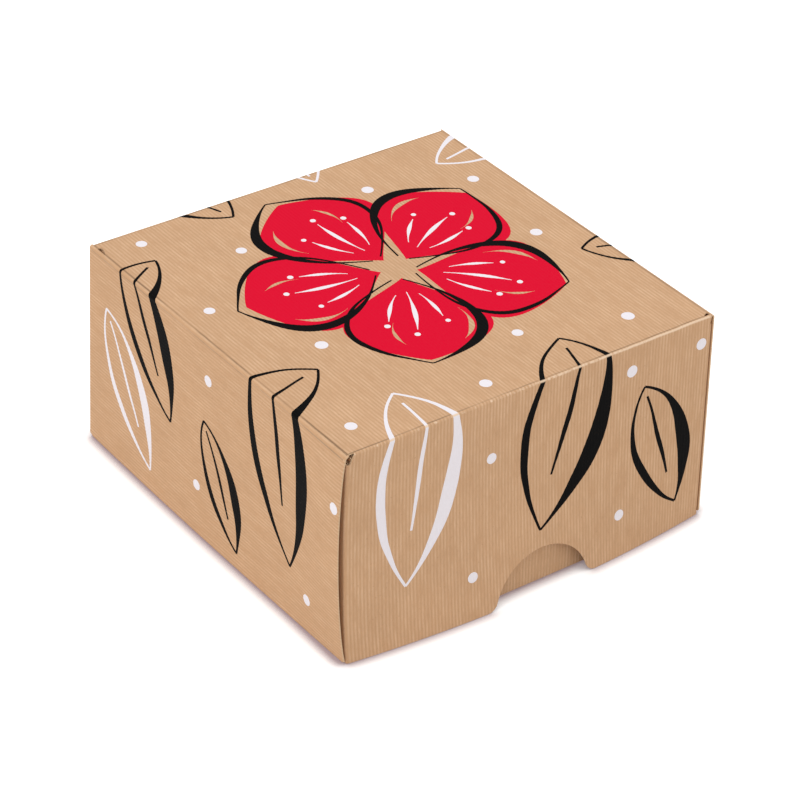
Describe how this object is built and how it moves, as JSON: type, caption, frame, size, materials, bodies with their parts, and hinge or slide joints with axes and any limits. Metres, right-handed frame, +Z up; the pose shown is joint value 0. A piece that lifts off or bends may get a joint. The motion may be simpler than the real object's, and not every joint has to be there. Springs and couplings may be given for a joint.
{
  "type": "square gift box",
  "caption": "Square kraft board gift box: full-depth lift-off lid with rolled side walls and thumb notches over a folded base tray.",
  "frame": {"origin": "on the floor under the middle of the closed box, in the plane of the base's underside", "axes": "+Z up along the lid's lift; the wall with the thumb notch that the picture shows faces -Y; +X to its right"},
  "size_m": [0.152, 0.1648, 0.08],
  "materials": {
    "kraft_lid_board": "matt ribbed kraft board, printed outside",
    "kraft_base_board": "matt ribbed kraft board, unprinted"
  },
  "bodies": {
    "base": {"base_floor_panel": "kraft_base_board", "base_front_wall": "kraft_base_board", "base_back_wall": "kraft_base_board", "base_left_outer_wall": "kraft_base_board", "base_left_rim": "kraft_base_board", "base_left_inner_wall": "kraft_base_board", "base_right_outer_wall": "kraft_base_board", "base_right_rim": "kraft_base_board", "base_right_inner_wall": "kraft_base_board", "base_front_left_tab": "kraft_base_board", "base_front_right_tab": "kraft_base_board", "base_back_left_tab": "kraft_base_board", "base_back_right_tab": "kraft_base_board"},
    "lid": {"lid_top_panel": "kraft_lid_board", "lid_front_wall": "kraft_lid_board", "lid_back_wall": "kraft_lid_board", "lid_left_outer_wall": "kraft_lid_board", "lid_left_rim": "kraft_lid_board", "lid_left_inner_wall": "kraft_lid_board", "lid_right_outer_wall": "kraft_lid_board", "lid_right_rim": "kraft_lid_board", "lid_right_inner_wall": "kraft_lid_board", "lid_front_left_tab": "kraft_lid_board", "lid_front_right_tab": "kraft_lid_board", "lid_back_left_tab": "kraft_lid_board", "lid_back_right_tab": "kraft_lid_board"}
  },
  "joints": [
    {"name": "lid_lift", "type": "slide", "parent": "base", "child": "lid", "axis": [0, 0, 1], "range_m": [0, 0.1]}
  ]
}
